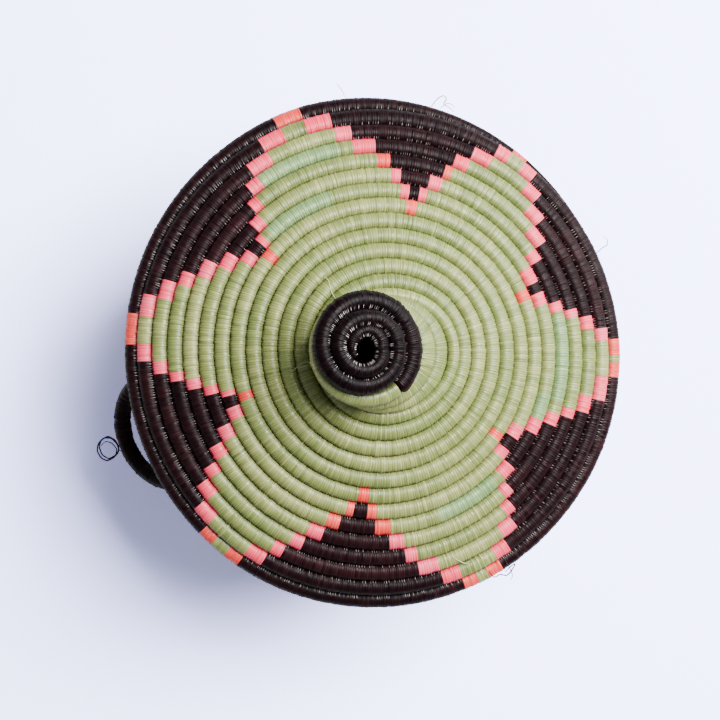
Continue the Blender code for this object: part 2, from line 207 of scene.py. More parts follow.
class Lid(Surface):
    """The lid, whose neck leans: each course there slides aside in its own tipped plane."""

    def __init__(self):
        rim = RIM_CURVE * (RIM_SLOPE - CONE_SLOPE)
        rim_run = RIM_CURVE * (math.sin(RIM_SLOPE) - math.sin(CONE_SLOPE))
        sweep = NECK_CURVE * (NECK_SLOPE - CONE_SLOPE)
        sweep_run = NECK_CURVE * (math.sin(NECK_SLOPE) - math.sin(CONE_SLOPE))
        rise_run = NECK_RISE * math.cos(NECK_SLOPE)
        cone_run = LID_RADIUS - rim_run - KNOB_RADIUS - sweep_run - rise_run
        cone = cone_run / math.cos(CONE_SLOPE)
        knob = KNOB_CURVE * (NECK_SLOPE - CUP_SLOPE)
        knob_run = KNOB_CURVE * (math.sin(NECK_SLOPE) - math.sin(CUP_SLOPE))
        cup = (KNOB_RADIUS - knob_run - KNOB_HOLE) / math.cos(CUP_SLOPE)
        super().__init__(walk(LID_RADIUS, 0.0, math.pi - RIM_SLOPE, (
            (rim, RIM_SLOPE - CONE_SLOPE),
            (cone, 0.0),
            (sweep, CONE_SLOPE - NECK_SLOPE),
            (NECK_RISE, 0.0),
            (knob, NECK_SLOPE - CUP_SLOPE),
            (cup, 0.0),
        )))
        self.neck_start = rim + cone
        self.neck_end = self.neck_start + sweep + NECK_RISE
        self.end = self.known[-1]
        self.lean()
        self.seat = 0.0

    def lean(self):
        share = (self.known - self.neck_start) / (self.neck_end - self.neck_start)
        inside = (share > 0) & (share < 1)
        step = np.diff(self.known, append=self.known[-1])
        ease = np.where(inside, np.sin(math.pi * share), 0) * step
        towards = np.array([math.cos(NECK_LEAN_ANGLE), math.sin(NECK_LEAN_ANGLE)])
        offset, tip, lift = np.zeros(2), np.zeros(2), 0.0
        rows = []
        for i, moved in enumerate(inside):
            rows.append((*offset, *tip, lift))
            climb = step[i] * math.sin(self.slopes[i])
            slide = np.zeros(2)
            if moved:
                slide = NECK_LEAN * ease[i] / ease.sum() * towards + tip * climb
            lift += slide.dot(tip) - climb * (1 - math.cos(np.linalg.norm(tip)))
            offset = offset + slide - tip * climb
            tip = tip + slide / (self.radii[i] * math.tan(math.pi - self.slopes[i]))
        self.leans = np.array(rows).T

    def even(self, distance, angle):
        inside = np.clip(distance, self.known[0], self.known[-1])
        radius, height = self.on_line(distance)
        neck = np.clip((inside - self.neck_start) / (self.neck_end - self.neck_start), 0, 1)
        radius = radius * (1 + OVAL_SHARE * (1 - neck) * np.cos(2 * (angle - OVAL_ANGLE)))
        x, y = radius * np.cos(angle), radius * np.sin(angle)
        offset_x, offset_y, tip_x, tip_y, lift = (np.interp(inside, self.known, row) for row in self.leans)
        tip = np.maximum(np.hypot(tip_x, tip_y), 1e-9)
        side = (x * tip_x + y * tip_y) / tip
        drawn_in = side * (np.cos(tip) - 1) / tip
        return np.column_stack([
            x + offset_x + drawn_in * tip_x,
            y + offset_y + drawn_in * tip_y,
            height + lift + side * np.sin(tip) + self.seat,
        ])

    def at(self, distance, angle):
        seen = angle + PHOTO_TURN
        course = distance / PITCH
        waves = sum(size * np.cos(count * (seen - math.radians(crest))) for count, size, crest in LID_WAVES)
        out = waves * np.clip((WAVES_END - course) / WAVES_FADE, 0, 1)
        rim = np.interp(course, RIM_FLARE_COURSES, (1, 0))
        out += RIM_FLARE * bump(seen, RIM_FLARE_ANGLE, RIM_FLARE_SPREAD) * rim
        neck = np.interp(course, NECK_FLARE_COURSES, NECK_FLARE_SHARES)
        out += NECK_FLARE * bump(seen, NECK_FLARE_ANGLE, NECK_FLARE_SPREAD) * neck
        return self.even(distance, angle) + outward(angle, out)


def body_surface():
    """The base's radius, and the line from its middle out, up the wall and in to the mouth."""
    corner_run = CORNER_CURVE * math.sin(WALL_SLOPE)
    corner_rise = CORNER_CURVE * (1 - math.cos(WALL_SLOPE))
    shoulder_rise = SHOULDER_CURVE * (math.cos(WALL_SLOPE) - math.cos(MOUTH_SLOPE))
    straight = (BODY_HEIGHT - COIL / 2 - corner_rise - shoulder_rise) / math.sin(WALL_SLOPE)
    out = PITCH + corner_run + straight * math.cos(WALL_SLOPE) + SHOULDER_CURVE * (1 - math.sin(WALL_SLOPE))
    flat = BODY_RADIUS - out
    return flat, Surface(walk(0.0, COIL / 2, 0.0, (
        (flat, 0.0),
        (PITCH, 0.0),
        (CORNER_CURVE * WALL_SLOPE, WALL_SLOPE),
        (straight, 0.0),
        (SHOULDER_CURVE * (MOUTH_SLOPE - WALL_SLOPE), MOUTH_SLOPE - WALL_SLOPE),
    )))


# Coils

def unit(vectors):
    return vectors / np.maximum(np.linalg.norm(vectors, axis=1), 1e-12)[:, None]


def lengths_along(places):
    """How far along a path each of its points lies."""
    return np.concatenate([[0], np.cumsum(np.linalg.norm(np.diff(places, axis=0), axis=1))])


def strand_edges(surface, start, stop, angle_of, width):
    """Distances of the edges between the strands that bind a coil, each strand about one width along it."""
    fine = np.linspace(start, stop, FINE_STEPS)
    lengths = lengths_along(surface.at(fine, angle_of(fine)))
    count = int(lengths[-1] / width)
    widths = 1 + COIL_SPREAD_SHARE * rng.standard_normal(count).clip(-2, 2)
    edges = np.concatenate([[0], np.cumsum(widths)])
    return np.interp(edges * lengths[-1] / edges[-1], lengths, fine)


def tube_rings(centres, along, across, half_along, half_across, sides, box):
    """Vertices of a tube, ring after ring, with a section that is rounder or boxier."""
    theta = 2 * math.pi * np.arange(sides) / sides
    c, s = np.cos(theta), np.sin(theta)
    c = np.sign(c) * np.abs(c) ** box
    return (
        centres[:, None]
        + along[:, None] * (half_along[:, None] * c)[:, :, None]
        + across[:, None] * (half_across[:, None] * s)[:, :, None]
    ).reshape(-1, 3)


def corner_map(mesh, name, u, v):
    """A layout of a tube's faces, from two places along it and two round it for each face."""
    corners = ((1, 0), (1, 1), (0, 1), (0, 0))
    laid = np.stack([np.stack([u[:, :, i], v[:, :, j]], 2) for i, j in corners], 2)
    ends = np.zeros((2 * u.shape[1], 2))
    layer = mesh.uv_layers.new(name=name)
    layer.uv.foreach_set("vector", np.concatenate([laid.reshape(-1, 2), ends]).astype(np.float32).ravel())


def tube_mesh(name, verts, sides, slots, tints, strands, rows, materials):
    """A closed tube, with a material slot and a tint for each ring, and its faces laid out in rows."""
    rings = len(verts) // sides
    around = np.arange(sides)
    first = np.arange(rings - 1)[:, None] * sides
    a, b = first + around, first + (around + 1) % sides
    quads = np.stack([a, b, b + sides, a + sides], axis=2).reshape(-1, 4)[:, ::-1]
    caps = np.stack([around, (rings - 1) * sides + around[::-1]])
    count = len(quads)
    mesh = bpy.data.meshes.new(name)
    mesh.vertices.add(len(verts))
    mesh.vertices.foreach_set("co", verts.astype(np.float32).ravel())
    mesh.loops.add(count * 4 + 2 * sides)
    mesh.loops.foreach_set("vertex_index", np.concatenate([quads.ravel(), caps.ravel()]).astype(np.int32))
    mesh.polygons.add(count + 2)
    starts = np.concatenate([np.arange(count) * 4, count * 4 + np.array([0, sides])])
    mesh.polygons.foreach_set("loop_start", starts.astype(np.int32))
    mesh.polygons.foreach_set("use_smooth", np.ones(count + 2, bool))

    def by_face(values):
        return np.concatenate([np.repeat(values, sides), values[[0, -1]]])

    mesh.polygons.foreach_set("material_index", by_face(slots).astype(np.int32))
    mesh.update(calc_edges=True)
    for material in materials:
        mesh.materials.append(material)
    tint = mesh.attributes.new("tint", "FLOAT", "FACE")
    tint.data.foreach_set("value", by_face(tints).astype(np.float32))
    each_ring = (rings - 1, sides, 2)
    turned = (around[:, None] + np.arange(2)) / sides
    # The rows run along the coil, and no two faces share a place in them.
    place = np.arange(rings) / (rings - 1) * rows
    row = np.floor(np.minimum(place[:-1], rows - 1e-6))
    along = np.stack([place[:-1] - row, np.minimum(place[1:] - row, 1.0)], 1)
    up = (row[:, None, None] + ROW_MARGIN + (1 - 2 * ROW_MARGIN) * turned) / rows
    corner_map(mesh, "OFBake", np.broadcast_to(along[:, None], each_ring), up)
    # Strands counted along the coil, and turns of each strand round it.
    along = np.stack([strands[:-1], strands[1:]], 1)
    corner_map(
        mesh, "strands", np.broadcast_to(along[:, None], each_ring), np.broadcast_to(turned, each_ring)
    )
    made = bpy.data.objects.new(name, mesh)
    bpy.context.scene.collection.objects.link(made)
    return made


def strand_tints(count):
    """A tint for each strand: raffia lengths that differ, and strands that differ a little within each."""
    tints = np.empty(count)
    done = 0
    while done < count:
        length = int(rng.integers(*RAFFIA_LENGTH))
        tints[done : done + length] = rng.normal(0.5, LENGTH_TINT_SHARE)
        done += length
    return (tints + STRAND_TINT_SHARE * rng.standard_normal(count)).clip(0, 1)


def bind(
    name, centres, along, across, half_along, half_across, edges_at, slots, sides, rows,
    box=COIL_BOX, share=None,
):
    """Gives a coil's rings the form of its strands: a groove between them, and strands of uneven height."""
    strands = len(slots)
    each = len(edges_at)
    sunk = np.append(np.tile([1.0] + [0.0] * (each - 1), strands), 1.0)
    count = len(sunk)
    lump = np.append(np.repeat(LUMP_SHARE * rng.standard_normal(strands), each), 0.0)
    jag = np.append(np.repeat(JAG_SHARE * np.abs(rng.standard_normal(strands)), each), 0.0)
    slow_at = np.arange(0, count + STRETCH, STRETCH)
    slow = np.interp(np.arange(count), slow_at, LUMP_SHARE * rng.standard_normal(len(slow_at)))
    least, most = GROOVE_SHARES
    deep = sunk * STITCH_DEPTH * (least + (most - least) * rng.random(count))
    half_across = half_across * (1 + lump + slow) - deep
    half_along = half_along * (1 + jag) - deep / 2
    if share is not None:
        centres = centres + along * (half_along * (1 - share))[:, None]
        half_along, half_across = half_along * share, half_across * share
    verts = tube_rings(centres, along, across, half_along, half_across, sides, box)
    number = np.append((np.arange(strands)[:, None] + np.array(edges_at)).ravel(), strands)
    tints = np.repeat(strand_tints(strands), each)
    return tube_mesh(name, verts, sides, np.repeat(slots, each), tints, number, rows, palette)


def strand_stations(edges, edges_at):
    """The places of a coil's rings: a few along each strand, and the last strand's end."""
    return np.append((edges[:-1, None] + np.diff(edges)[:, None] * np.array(edges_at)).ravel(), edges[-1])


def coil(name, surface, start, stop, angle_of, width, sides, rows, slots_of, edges_at, fit, taper=None):
    """A bound coil along a surface, as wide as the space between its courses."""
    edges = strand_edges(surface, start, stop, angle_of, width)
    stations = strand_stations(edges, edges_at)
    angle = angle_of(stations)
    before, after = stations - TICK, stations + TICK
    tangent = unit(surface.at(after, angle_of(after)) - surface.at(before, angle_of(before)))
    along = surface.at(stations + PITCH / 2, angle) - surface.at(stations - PITCH / 2, angle)
    along -= (along * tangent).sum(1)[:, None] * tangent
    half_along = np.linalg.norm(along, axis=1) / 2 * fit
    along = unit(along)
    middles = (edges[:-1] + edges[1:]) / 2
    return bind(
        name, surface.at(stations, angle), along, np.cross(tangent, along), half_along,
        np.full(len(stations), COIL / 2), edges_at, slots_of(middles, angle_of(middles)), sides, rows,
        share=None if taper is None else taper(stations),
    )


def rope(name, path, thickness, width, sides, rows, slot, edges_at=ROUND_STRAND, swell=None):
    """A bound rope along a path of points, whose thickness may change along it."""
    lengths = lengths_along(path)
    strands = int(lengths[-1] / width)
    edges = np.linspace(0, lengths[-1], strands + 1)
    edges[1:-1] += ROPE_SPREAD_SHARE * width * rng.standard_normal(strands - 1).clip(-2, 2)
    stations = strand_stations(edges, edges_at)
    centres = np.column_stack([np.interp(stations, lengths, path[:, i]) for i in range(3)])
    tangent = unit(np.gradient(centres, axis=0))
    across = unit(np.array([0, 0, 1.0]) - tangent[:, 2:3] * tangent)
    half = np.full(len(stations), thickness / 2)
    if swell is not None:
        half = half * swell(stations / lengths[-1])
    return bind(
        name, centres, np.cross(across, tangent), across, half, half, edges_at, np.full(strands, slot),
        sides, rows, box=1.0,
    )


# Materials

# The colour of the painted highlights, glints on some strands.
GLINT_COLOUR = (226, 214, 210)


def srgb(*levels):
    """A colour from its red, green and blue as they are written for screens, 0 to 255."""
    shares = [level / 255 for level in levels]
    return tuple(c / 12.92 if c <= 0.04045 else ((c + 0.055) / 1.055) ** 2.4 for c in shares)


def ramp_node(nodes, *stops):
    """A colour ramp of grey levels, or of colours, at the given spots."""
    node = nodes.new("ShaderNodeValToRGB")
    elements = node.color_ramp.elements
    for element, (spot, colour) in zip(elements, (stops[0], stops[-1])):
        element.position, element.color = spot, colour
    for spot, colour in stops[1:-1]:
        elements.new(spot).color = colour
    return node


def grey(level):
    return (level, level, level, 1)


def math_node(nodes, links, operation, *values):
    """An operation on values, each a number or the output of another node."""
    node = nodes.new("ShaderNodeMath")
    node.operation = operation
    for slot, value in zip(node.inputs, values):
        if isinstance(value, (int, float)):
            slot.default_value = value
        else:
            links.new(value, slot)
    return node.outputs["Value"]


def range_node(nodes, links, value, start, stop, low, high):
    node = nodes.new("ShaderNodeMapRange")
    for key, number in (("From Min", start), ("From Max", stop), ("To Min", low), ("To Max", high)):
        node.inputs[key].default_value = number
    links.new(value, node.inputs["Value"])
    return node.outputs["Result"]


def scaled(nodes, links, colour, amount):
    node = nodes.new("ShaderNodeVectorMath")
    node.operation = "SCALE"
    links.new(colour, node.inputs[0])
    links.new(amount, node.inputs["Scale"])
    return node.outputs["Vector"]


def fibre_noise(nodes, links, place, scale):
    stretch = nodes.new("ShaderNodeMapping")
    stretch.inputs["Scale"].default_value = scale
    links.new(place, stretch.inputs["Vector"])
    noise = nodes.new("ShaderNodeTexNoise")
    noise.inputs["Scale"].default_value = 1.0
    noise.inputs["Detail"].default_value = 3.0
    links.new(stretch.outputs["Vector"], noise.inputs["Vector"])
    return noise.outputs["Fac"]


def finish_raffia(nodes, links, fibres, colour, roughness, specular):
    shader = nodes["Principled BSDF"]
    shader.inputs["Specular IOR Level"].default_value = specular
    links.new(colour, shader.inputs["Base Color"])
    links.new(roughness, shader.inputs["Roughness"])
    bump_node = nodes.new("ShaderNodeBump")
    bump_node.inputs["Strength"].default_value = 0.4
    bump_node.inputs["Distance"].default_value = 0.0002
    links.new(fibres, bump_node.inputs["Height"])
    links.new(bump_node.outputs["Normal"], shader.inputs["Normal"])


def raffia(
    name, low, middle, high, roughness, specular=0.25, painted_glints=0.0, glint_colour=GLINT_COLOUR, glint_turn=0.06
):
    """Dyed raffia bound round a coil: strands of many tints, with fibres that run round the coil.

    Painted glints: how bright the pale painted highlights on some strands are, then their colour, and how far
    round the coil they lie."""
    material = bpy.data.materials.new(name)
    material.use_nodes = True
    nodes, links = material.node_tree.nodes, material.node_tree.links
    tint = nodes.new("ShaderNodeAttribute")
    tint.attribute_name = "tint"
    dye = ramp_node(nodes, (0.0, (*srgb(*low), 1)), (0.5, (*srgb(*middle), 1)), (1.0, (*srgb(*high), 1)))
    links.new(tint.outputs["Fac"], dye.inputs["Fac"])
    place = nodes.new("ShaderNodeUVMap")
    place.uv_map = "strands"
    fibres = fibre_noise(nodes, links, place.outputs["UV"], (6.0, 3.0, 1.0))
    parts = nodes.new("ShaderNodeSeparateXYZ")
    links.new(place.outputs["UV"], parts.inputs["Vector"])
    strand = math_node(nodes, links, "FLOOR", parts.outputs["X"])
    # Painted shade at the seams between strands and down in the groove between two courses, and darker
    # streaks along the strands.
    painted_seam_shade = ramp_node(nodes, (0.0, grey(0.55)), (0.14, grey(1.0)), (0.86, grey(1.0)), (1.0, grey(0.55)))
    across = math_node(nodes, links, "FRACT", parts.outputs["X"])
    links.new(across, painted_seam_shade.inputs["Fac"])
    streaks = range_node(nodes, links, fibres, 0.3, 0.7, 0.74, 1.2)
    # The painted shade in the groove between two courses, darkest at its bottom.
    painted_groove_shade = ramp_node(
        nodes, (0.0, grey(0.3)), (0.07, grey(0.8)), (0.16, grey(1.0)), (0.32, grey(1.0)), (0.42, grey(0.78)),
        (0.5, grey(0.3)),
    )
    links.new(parts.outputs["Y"], painted_groove_shade.inputs["Fac"])
    shade = math_node(nodes, links, "MULTIPLY", streaks, painted_seam_shade.outputs["Color"])
    shade = math_node(nodes, links, "MULTIPLY", shade, painted_groove_shade.outputs["Color"])
    colour = scaled(nodes, links, dye.outputs["Color"], shade)
    # Painted highlights: some strands get a pale glint painted where they fold down into the groove between
    # two courses.
    chance = nodes.new("ShaderNodeTexWhiteNoise")
    chance.noise_dimensions = "1D"
    links.new(strand, chance.inputs["W"])
    glint_band = ramp_node(
        nodes, (glint_turn - 0.05, grey(0.0)), (glint_turn - 0.03, grey(0.4)), (glint_turn, grey(1.0)),
        (glint_turn + 0.05, grey(0.0)),
    )
    links.new(parts.outputs["Y"], glint_band.inputs["Fac"])
    glint_strength = range_node(nodes, links, chance.outputs["Value"], 0.3, 1.0, 0.0, painted_glints)
    glint_thread = ramp_node(nodes, (0.22, grey(0.0)), (0.36, grey(1.0)), (0.5, grey(0.0)))
    links.new(across, glint_thread.inputs["Fac"])
    glint = math_node(nodes, links, "MULTIPLY", glint_band.outputs["Color"], glint_thread.outputs["Color"])
    glinted = nodes.new("ShaderNodeMix")
    glinted.data_type = "RGBA"
    links.new(math_node(nodes, links, "MULTIPLY", glint, glint_strength), glinted.inputs["Factor"])
    links.new(colour, glinted.inputs["A"])
    glinted.inputs["B"].default_value = (*srgb(*glint_colour), 1)
    gloss = range_node(nodes, links, chance.outputs["Value"], 0.0, 1.0, roughness + 0.12, roughness - 0.14)
    finish_raffia(nodes, links, fibres, glinted.outputs["Result"], gloss, specular)
    return material


def loose_raffia(name, colour):
    """A single loose strand."""
    material = bpy.data.materials.new(name)
    material.use_nodes = True
    nodes, links = material.node_tree.nodes, material.node_tree.links
    place = nodes.new("ShaderNodeTexCoord")
    fibres = fibre_noise(nodes, links, place.outputs["Object"], (900.0, 900.0, 900.0))
    dark = tuple(0.75 * value for value in srgb(*colour))
    dye = ramp_node(nodes, (0.3, (*dark, 1)), (0.7, (*srgb(*colour), 1)))
    links.new(fibres, dye.inputs["Fac"])
    roughness = range_node(nodes, links, fibres, 0.0, 1.0, 0.45, 0.6)
    finish_raffia(nodes, links, fibres, dye.outputs["Color"], roughness, 0.25)
    return material


GREEN, DARK, CORAL, ORANGE, TEAL, STRAW, KNOB_DARK = range(7)
# Each raffia's last numbers, where given, are its painted highlights: how bright the glints are, their colour
# and how far round the coil they lie.
palette = [
    raffia("green_raffia", (98, 112, 50), (128, 139, 71), (160, 162, 97), 0.44, 0.6, 0.4, (230, 230, 190)),
    raffia("dark_raffia", (15, 2, 5), (23, 5, 8), (40, 15, 19), 0.46, 0.11, 0.9),
    raffia("coral_raffia", (246, 50, 80), (255, 70, 98), (255, 100, 124), 0.46, 0.42),
    raffia("orange_raffia", (222, 50, 38), (238, 64, 54), (250, 88, 78), 0.46, 0.42),
    raffia("teal_raffia", (100, 130, 76), (122, 152, 92), (142, 167, 110), 0.44, 0.6, 0.35, (216, 232, 200)),
    raffia("straw_raffia", (190, 178, 140), (216, 204, 168), (234, 224, 194), 0.55),
    raffia("knob_raffia", (7, 2, 4), (12, 4, 6), (26, 9, 13), 0.36, 0.085, 1.8, (244, 236, 232), 0.13),
]
fibre_materials = {
    DARK: loose_raffia("dark_fibre", (34, 22, 26)),
    GREEN: loose_raffia("green_fibre", (190, 196, 146)),
    STRAW: loose_raffia("straw_fibre", (206, 188, 144)),
}

# The six-petal pattern of the lid, in degrees of the photograph. A valley lies between two petals. It has its
# middle, then how far its dark edge stands from there on each course outwards, clockwise and anticlockwise.
VALLEYS = (
    (21.5, (1, 5, 8.5, 11, 15, 18), (3, 8.5, 12.5, 17.5, 22.5, 27, 30.5)),
    (78, (1.5, 4, 8, 10, 13.5, 18.5, 22), (2, 5, 8.5, 13, 19, 23, 29.5)),
    (140, (2, 4, 8, 11.5, 15, 21, 26.5), (2.5, 7, 12, 17.5, 21.5, 26, 31)),
    (198, (1.5, 4, 7, 9.5, 12.5, 15.5, 20), (2.5, 7, 11.5, 15.5, 18.5, 22.5, 27.5)),
    (262.5, (2.5, 5.5, 10, 14.5, 18, 21.5, 26), (2, 6, 10.5, 15, 18.5, 23.5, 28.5)),
    (324.5, (1.5, 5.5, 10, 13, 15.5, 20, 24), (3, 8, 13, 16.5, 19.5, 24, 30)),
)
TIP_HALF = 1.8           # degrees, of the single block at a valley's point
LAST_BLOCK = 3.6         # degrees, of a block on the outermost course
TIP_COURSE = 7           # counted from the edge, where all the valleys end
ORANGE_INNER = {(1, 3), (4, 1), (4, 2)}    # valleys and courses whose blocks are orange and not coral
# Lengths of a bluer green raffia: the course, counted from the edge, and the degrees it runs between. One
# that ends past 360 degrees runs on into the next course.
TEAL_LENGTHS = ((3, 101, 125), (6, 108, 133), (5, 290, 312), (4, 345, 372), (5, 337, 346), (2, 60, 65))


def valley_colour(off, edge, outer, orange):
    """The colour at this many degrees from a valley's middle: dark, then one bright block, then none."""
    if off < edge:
        return DARK
    if off < outer:
        return ORANGE if orange else CORAL
    return None


def lid_slots(_distance, angle):
    """The colour of each strand of the lid."""
    slots = np.full(len(angle), GREEN)
    for i, turned in enumerate(np.degrees(angle + PHOTO_TURN)):
        course, degree = int(turned // 360), turned % 360
        if any(360 * where + start < turned < 360 * where + stop for where, start, stop in TEAL_LENGTHS):
            slots[i] = TEAL
        level = TIP_COURSE - course
        if level < 0:
            continue
        for number, (middle, clockwise, anticlockwise) in enumerate(VALLEYS):
            off = (degree - middle + 180) % 360 - 180
            edges = anticlockwise if off > 0 else clockwise
            off = abs(off)
            if level == 0:
                if off < TIP_HALF:
                    slots[i] = ORANGE
                continue
            edge = edges[min(level, len(edges)) - 1]
            outer = edges[level] if level < len(edges) else edge + LAST_BLOCK
            colour = valley_colour(off, edge, outer, level >= len(edges) or (number, level) in ORANGE_INNER)
            if colour is not None and slots[i] != DARK:
                slots[i] = colour
    return slots


# The wall doesn't show in the photograph. It has the lid's motif again, from the corner to the mouth.
VALLEY_RISE = 3          # courses from the base to the valleys' points
VALLEY_GROWTH = 1.55     # degrees that a valley's side moves out from course to course
VALLEY_BLOCK = 2.6       # degrees


def wall_slots(distance, angle):
    """The colour of each strand of the wall."""
    slots = np.full(len(angle), GREEN)
    course = np.floor((distance - base_radius) / PITCH)
    degree = np.degrees(angle + PHOTO_TURN)
    for middle, _clockwise, _anticlockwise in VALLEYS:
        off = np.abs((degree - middle + 180) % 360 - 180)
        edge = (course - VALLEY_RISE) * VALLEY_GROWTH
        slots[(edge >= 0) & (off < edge + VALLEY_BLOCK) & (slots == GREEN)] = CORAL
        slots[(edge > 0) & (off < edge)] = DARK
    return slots


def base_slots(_distance, angle):
    return np.full(len(angle), GREEN)


# The lid

TIP_SHARE = 0.10           # of the thickness, at the coil's outer end
TAPER_TURN_SHARE = 0.22    # of a turn, over which it thins


def lid_angle(distance):
    return LID_END_ANGLE + 2 * math.pi * distance / PITCH


def end_taper(distance):
    """The coil's outer end thins out over its first fifth of a turn."""
    return TIP_SHARE + (1 - TIP_SHARE) * np.clip(distance / (TAPER_TURN_SHARE * PITCH), 0, 1) ** 0.8


lid = Lid()
# The seat is where the solid lid lies.
trial = np.linspace(0, lid.neck_end, 4000)
lid.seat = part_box("lid_coil")[0][2] + COIL / 2 - lid.at(trial, lid_angle(trial))[:, 2].min()

lid_pieces = []
lid_cuts = [0.0, 3.0 * PITCH, 7.0 * PITCH, lid.neck_end]
for i, (start, stop) in enumerate(zip(lid_cuts[:-1], lid_cuts[1:])):
    piece = coil(
        f"lid_courses_{i + 1}", lid, start, stop, lid_angle, LID_STITCH, LID_SIDES, LID_ROWS, lid_slots,
        ROUND_STRAND, LID_FIT, taper=end_taper if i == 0 else None,
    )
    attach(piece, "lid")
    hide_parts("lid_coil")
    lid_pieces.append(piece)


def knob_thickness(share):
    """Blunt at its start, stout over the first quarter turn, and thinner in the hollow."""
    blunt = np.sqrt(1 - (1 - np.clip(share / KNOB_BLUNT_SHARE, 0.05, 1)) ** 2)
    return blunt * np.interp(share, KNOB_PLACES, KNOB_SHARES)


wound = np.linspace(lid.neck_end, lid.end, 900)
wander = np.interp(wound / PITCH, KNOB_COURSES, KNOB_SHIFTS)
knob_path = lid.even(wound, lid_angle(wound)) + outward(lid_angle(wound), wander)
knob = rope(
    "knob_spiral", knob_path, COIL, KNOB_STITCH, KNOB_SIDES, KNOB_ROWS, KNOB_DARK, swell=knob_thickness
)
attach(knob, "lid")
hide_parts("knob_coil")

# The collar under the lid: a course, a step down, and most of a second course
collar_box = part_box("lid_collar")
collar_radius = (collar_box[1][0] - collar_box[0][0]) / 2 - COIL / 2
collar_top = collar_box[1][2] - COIL / 2
turns = np.linspace(0, COLLAR_TURNS * 2 * math.pi, 500)
step = np.clip((turns / (2 * math.pi) - STEP_START_SHARE) / STEP_LENGTH_SHARE, 0, 1)
drop = PITCH * step * step * (3 - 2 * step)
collar_path = np.column_stack([
    collar_radius * np.cos(turns), collar_radius * np.sin(turns), collar_top - drop,
])
collar = rope("collar_coil", collar_path, COIL, BODY_STITCH, COLLAR_SIDES, COLLAR_ROWS, DARK, PLAIN_STRAND)
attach(collar, "lid")
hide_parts("lid_collar")

# The body: one coil from the middle of the base out and up to the mouth
MOUTH_TAPER_SHARE = 0.2    # of a turn
MOUTH_TIP_SHARE = 0.3      # of the thickness
base_radius, body = body_surface()


def body_angle(distance):
    return 2 * math.pi * distance / PITCH


base = coil(
    "base_coil", body, BASE_START * PITCH, base_radius, body_angle, BODY_STITCH, BODY_SIDES, BASE_ROWS,
    base_slots, PLAIN_STRAND, BODY_FIT,
)
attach(base, "basket_body")
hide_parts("base")

body_end = body.known[-1]


def mouth_taper(distance):
    """The coil's end at the mouth thins out over its last fifth of a turn."""
    return np.clip((body_end - distance) / (MOUTH_TAPER_SHARE * PITCH), MOUTH_TIP_SHARE, 1)


wall_cuts = np.linspace(base_radius, body_end, 3)
for i, (start, stop) in enumerate(zip(wall_cuts[:-1], wall_cuts[1:])):
    piece = coil(
        f"wall_courses_{i + 1}", body, start, stop, body_angle, BODY_STITCH, BODY_SIDES, WALL_ROWS,
        wall_slots, PLAIN_STRAND, BODY_FIT, taper=mouth_taper if i else None,
    )
    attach(piece, "basket_body")
    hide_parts("wall")

# The handles, each a bound rope whose two feet lie against one course of the wall

def handle_path(side, foot_radius, level):
    """Foot, leg, loop, leg and foot."""
    reach = BODY_RADIUS + HANDLE_REACH
    foot_turn = math.asin((HANDLE_HALF_SPAN + HANDLE_FILLET) / (foot_radius + HANDLE_FILLET))
    bend_x = math.cos(foot_turn) * (foot_radius + HANDLE_FILLET)
    bend_y = math.sin(foot_turn) * (foot_radius + HANDLE_FILLET)
    half = []
    for share in np.linspace(1, 0, 12, endpoint=False):
        turn = foot_turn + HANDLE_FOOT * share / foot_radius
        half.append((foot_radius * math.cos(turn), foot_radius * math.sin(turn)))
    for share in np.linspace(0, 1, 12):
        turn = math.pi + foot_turn + (math.pi / 2 - foot_turn) * share
        half.append((bend_x + HANDLE_FILLET * math.cos(turn), bend_y + HANDLE_FILLET * math.sin(turn)))
    for share in np.linspace(0, 1, 40)[1:-1]:
        turn = math.pi / 2 * (1 - share)
        half.append((bend_x + (reach - bend_x) * math.cos(turn), HANDLE_HALF_SPAN * math.sin(turn)))
    plan = np.array(half + [(reach, 0.0)] + [(x, -y) for x, y in reversed(half)])
    fall = np.maximum(0, plan[:, 0] - foot_radius) * math.tan(HANDLE_DROOP)
    return np.column_stack([side * plan[:, 0], side * plan[:, 1], level - fall]), foot_turn


FIBRE_STEP = 0.0006        # between the rings of a loose strand
FIBRE_FLAT_SHARE = 0.6     # of its width, how thick it is
FIBRE_SMOOTHINGS = 6
FIBRE_ASIDE = (0.31, 0.17, 0.93)   # a fixed direction that a strand's two sides are taken from


def fibre(name, path, thickness, material, body_name, sides=6, ends=0.35):
    """A loose length of raffia along a path, thinning towards its ends."""
    lengths = lengths_along(path)
    count = max(8, int(lengths[-1] / FIBRE_STEP))
    at = np.linspace(0, lengths[-1], count)
    smooth = np.column_stack([np.interp(at, lengths, path[:, i]) for i in range(3)])
    for _ in range(FIBRE_SMOOTHINGS):
        smooth[1:-1] = (smooth[:-2] + 2 * smooth[1:-1] + smooth[2:]) / 4
    tangent = unit(np.gradient(smooth, axis=0))
    side = unit(np.cross(tangent, FIBRE_ASIDE))
    half = thickness / 2 * (ends + (1 - ends) * np.sin(math.pi * np.linspace(0, 1, count)) ** 0.5)
    verts = tube_rings(smooth, side, np.cross(tangent, side), half, half * FIBRE_FLAT_SHARE, sides, 1.0)
    slots, tints = np.zeros(count - 1, int), np.full(count - 1, 0.5)
    piece = tube_mesh(name, verts, sides, slots, tints, np.arange(count), 1, [material])
    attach(piece, body_name)
    return piece


